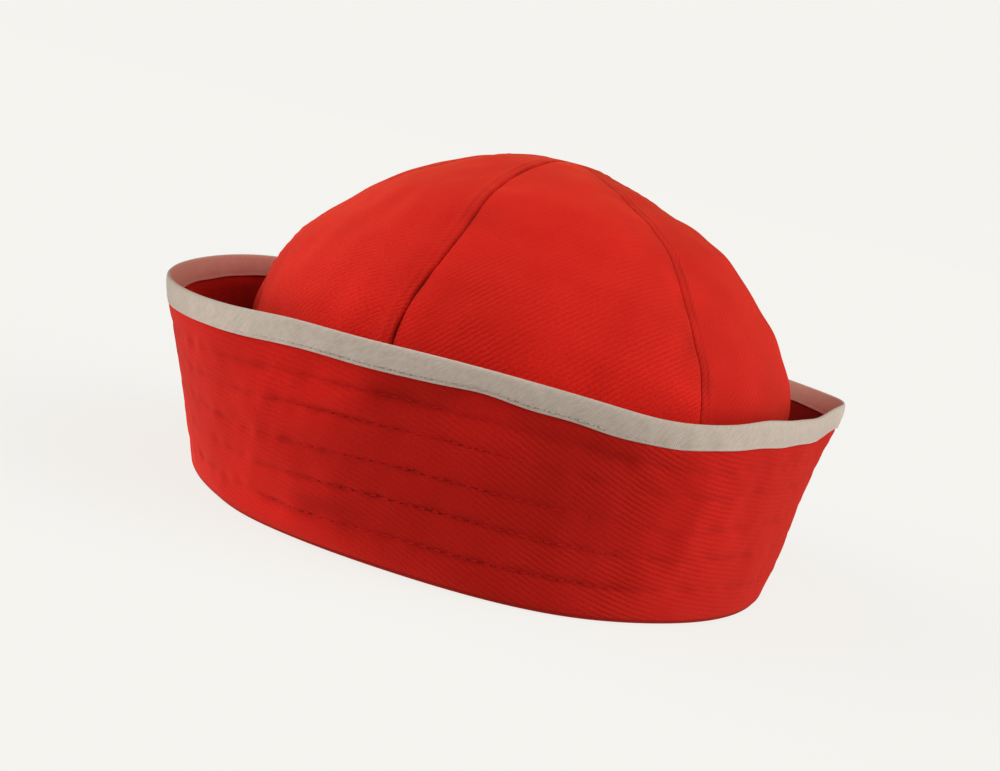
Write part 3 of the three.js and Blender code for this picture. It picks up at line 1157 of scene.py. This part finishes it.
def spots(points, rows):
    """Sum of round bell-shaped spots on the crown, each about its own angle and length up the crown."""
    total = 0 * points[..., 0]
    for row in rows:
        centre = crown_point(math.radians(row["angle"]), np.array(row["length"]), 0.0)
        total = total + row["size"] * bell(np.linalg.norm(points - centre, axis=-1), row["width"])
    return total


def gore_marks(number, across, length, points):
    """Nap, grain and shade of a gore.

    Nap and grain are worn flat towards the top, and the nap stands out on the laps. The shade is painted
    shade: it has a base on each gore, deepens at the seams, along the topstitching and towards the gore's
    second seam, and has a few patches, some of which take it away again as painted light.
    """
    fresh = FRESH_NAP - TOP_WEAR * smooth(length, *WEAR_LENGTHS)
    nap = GORE_NAP[number - 1] * fresh
    late = smooth(across, *LATE_ACROSS) * smooth(length, *LATE_LENGTHS)
    shade = GORE_SHADE[number - 1] + LATE_SHADE[number - 1] * late + spots(points, CROWN_PAINTED_LIGHT_AND_SHADE)
    strength = np.clip(1 + uneven(points, "crown_seams"), 0, 2)
    for seam, distance, is_top in gore_seams(number, across, length):
        fading = bell(distance, SEAMS[seam - 1]["spread"])
        shade = shade + SEAMS[seam - 1]["shade"] * seam_ease(seam, length) * strength * fading
        if is_top:
            shade = shade + LAP_SHADE * strength * bell(distance - LAP_ROW, STITCH_LINE)
            nap = nap + LAP_NAP * (1 - smooth(distance, *LAP_NAP_FALL))
    return {"nap": nap, "grain": GORE_GRAIN[number - 1] * fresh, "shade": np.clip(shade, 0, 1)}


def gore_relief(number, across, length, points):
    """How far a gore stands off the crown's section: full in its middle, lapped at its seams, dented."""
    fullness = GORE_FULLNESS * np.sin(math.pi * across) * np.sin(math.pi * length / CROWN_LENGTH)
    laps = 0 * length
    for seam, distance, is_top in gore_seams(number, across, length):
        laps = laps + lap_relief(distance, length, is_top, seam)
    dents = uneven(points, "crown_slow") + uneven(points, "crown_quick") + spots(points, CROWN_DENTS)
    at_top = smooth(CROWN_LENGTH - length, 0, TOP_CLOSING)
    return (fullness + laps + dents) * at_top - (1 - at_top) * TOP_SINK


def radius_at(length):
    """Radius of the crown at a length up its section."""
    return np.interp(length, PROFILE_LENGTHS, profile_radius)


def gore_angles(number, across, length):
    """Angle of a place across a gore, between its two seams."""
    start, spread = gore_span(number, length)
    return start + across * spread


def make_gore(number, material):
    """Crown gore: a shell over places across it, close together at its seams, and lengths up the crown."""
    even = np.linspace(0, 1, GORE_COLUMNS)
    crowded = 0.5 - 0.5 * np.cos(math.pi * even)
    across = (EVEN_SHARE * even + (1 - EVEN_SHARE) * crowded)[None]
    length = np.linspace(0, CROWN_LENGTH - TIP_GAP, GORE_ROWS)[:, None]
    across, length = np.broadcast_arrays(across, length)
    angle = gore_angles(number, across, length)
    points = crown_point(angle, length, 0.0)
    relief = gore_relief(number, across, length, points)
    outside = crown_point(angle, length, relief)
    inside = crown_point(angle, length, np.minimum(relief, 0) - CROWN_CLOTH)
    weave = turned(*flat_gore(number, angle, length), GORE_WALES[number - 1])
    marks = gore_marks(number, across, length, points)
    return shell_piece(f"crown_gore_{number}_cloth", outside, inside, weave, material, marks)


def flat_gore(number, angle, length):
    """Flat coordinates of a gore's cloth: each level line unrolls to an arc about the tip of its cone."""
    middle = gore_angles(number, 0.5, length)
    share = np.interp(length, PROFILE_LENGTHS, PROFILE_SHARES)
    radius, _, run, _ = crown_profile(share)
    closing = np.maximum(-run, LEAST_CLOSING)
    slant = radius / closing
    spread = (angle - middle) * closing
    return slant * np.sin(spread), length + slant * (1 - np.cos(spread))


def crown_stitch_rows():
    """Lines of topstitching along the laps of the crown's seams."""
    rows = []
    length = np.linspace(0, CROWN_LENGTH - LAP_ROW_END, SEAM_STEPS)
    for number, seam in enumerate(SEAMS, start=1):
        gore = seam["top_gore"]
        _, spread = gore_span(gore, length)
        across = LAP_ROW / (radius_at(length) * spread)
        if gore == number:
            across = 1 - across
        angle = gore_angles(gore, across, length)
        relief = gore_relief(gore, across, length, crown_point(angle, length, 0.0))
        rows.append({
            "path": crown_point(angle, length, relief),
            "normals": crown_normal(angle, length),
            "pitch": STITCH_PITCH,
            "sunk": np.full(length.shape, seam["sunk"]),
            "depth": np.full(length.shape, LAP_HOLES),
        })
    return rows


# Stage

BACKDROP = "#F4F3EF"
FLOOR_SIZE = 40.0

# Light of the tent: the way round from the camera's own place, the height above level, how tight and strong
SURROUNDINGS = table("azimuth elevation tightness strength", (
    (-90, 0, 4, 4.55),
    (90, 0, 12, 4.85),
    (90, 35, 12, 2.19),
    (60, 60, 4, 1.18),
    (0, 35, 4, 0.21),
    (0, -90, 2, 1.02),
))


def make_floor():
    """Pale seamless floor that glows as evenly lit paper does and takes a faint shadow."""
    corners = np.array([(-1, -1, 0), (1, -1, 0), (1, 1, 0), (-1, 1, 0)]) * FLOOR_SIZE / 2
    material, add = new_material("pale_paper_floor")
    paper = add("BsdfPrincipled", {}, {
        "Base Color": linear("#5E5E5C"),
        "Roughness": 1.0,
        "Specular IOR Level": 0.0,
        "Emission Color": linear(BACKDROP),
        "Emission Strength": 0.89,
    })
    add("OutputMaterial", {}, {"Surface": paper})
    mesh = bpy.data.meshes.new("floor")
    mesh.from_pydata(corners.tolist(), [], [(0, 1, 2, 3)])
    mesh.materials.append(material)
    floor = bpy.data.objects.new("floor", mesh)
    bpy.context.scene.collection.objects.link(floor)
    floor.visible_diffuse = False
    floor.visible_glossy = False


def from_camera(azimuth, elevation):
    """Direction from the hat: turned to the right from the camera's own place, and raised above level."""
    to_camera = math.atan2(CAMERA_PLACE.y, CAMERA_PLACE.x)
    turn = to_camera + math.radians(azimuth)
    rise = math.radians(elevation)
    return Vector((math.cos(turn) * math.cos(rise), math.sin(turn) * math.cos(rise), math.sin(rise)))


def make_world():
    """Soft tent round the hat: the camera sees it as plain paper, and each side gives its own light."""
    world = bpy.data.worlds.new("studio")
    bpy.context.scene.world = world
    world.use_nodes = True
    world.node_tree.nodes.clear()
    add = functools.partial(add_node, world.node_tree)
    direction = add("TexCoord").outputs["Generated"]
    total = 0.0
    for row in SURROUNDINGS:
        axis = from_camera(row["azimuth"], row["elevation"])
        facing = add("VectorMath", {"operation": "DOT_PRODUCT"}, {0: direction, 1: axis})
        lit = add("Math", {"operation": "MAXIMUM"}, {0: facing, 1: 0.0})
        lobe = add("Math", {"operation": "POWER"}, {0: lit, 1: row["tightness"]})
        total = add("Math", {"operation": "MULTIPLY_ADD"}, {0: lobe, 1: row["strength"], 2: total})
    seen = add("Background", {}, {"Color": linear(BACKDROP)})
    light = add("Background", {}, {"Color": linear("#FFFFFF"), "Strength": total})
    rays = add("LightPath")
    both = add("MixShader", {}, {"Fac": rays.outputs["Is Camera Ray"], 1: light, 2: seen})
    add("OutputWorld", {}, {"Surface": both})


def make_camera():
    """Camera at the photograph's angle: aimed at a point above the base and rolled about its own axis."""
    data = bpy.data.cameras.new("camera")
    data.sensor_width = SENSOR_WIDTH
    data.lens = CAMERA_LENS
    data.clip_start = 0.01
    camera = bpy.data.objects.new("camera", data)
    look = (CAMERA_AIM - CAMERA_PLACE).to_track_quat("-Z", "Y").to_matrix()
    roll = Matrix.Rotation(math.radians(CAMERA_ROLL), 3, "Z")
    camera.matrix_world = Matrix.Translation(CAMERA_PLACE) @ (look @ roll).to_4x4()
    bpy.context.scene.collection.objects.link(camera)
    bpy.context.scene.camera = camera


# The first colour of each twill is its painted shade
brim_twill = red_twill("red_cotton_twill", "#6E0B09", "#C41713", "#D21E19", "#E42720", 0.025)
# The crown's twill is lighter than the brim's, partly as painted light
crown_twill = red_twill("red_cotton_twill_lighter", "#8C100D", "#D71D18", "#E5251E", "#FA2F25", 0.08)
binding_cotton = white_binding()
# Each thread's first colour is the painted shade at its needle holes
red_thread = sewing_thread("red_cotton_thread", "#780D0B", "#BE1814")
lighter_thread = sewing_thread("red_cotton_thread_lighter", "#6E0B09", "#C81D18")
white_thread = sewing_thread("undyed_cotton_thread", "#857A6F", "#BBAC9C")

brim = make_brim(brim_twill)
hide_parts("brim")
brim_round = distance_round(brim_angles)[-1, 0]
binding = make_binding(binding_cotton)
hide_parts("brim_binding")
for gore_number in range(1, len(SEAMS) + 1):
    gore_piece = make_gore(gore_number, crown_twill)
    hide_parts(f"crown_gore_{gore_number}")
STITCHING = (
    ("brim_stitching_outside", brim_stitch_rows(1), red_thread, "red_twill"),
    ("brim_stitching_inside", brim_stitch_rows(-1), red_thread, "red_twill"),
    ("crown_topstitching", crown_stitch_rows(), lighter_thread, "red_twill"),
    ("binding_stitching", binding_stitch_rows(), white_thread, "white_binding"),
)
for stitching_name, stitching_rows, thread, thread_slot in STITCHING:
    stitch_piece(stitching_name, stitching_rows, thread)

make_floor()
make_world()
make_camera()
bpy.context.scene.view_settings.view_transform = "Standard"
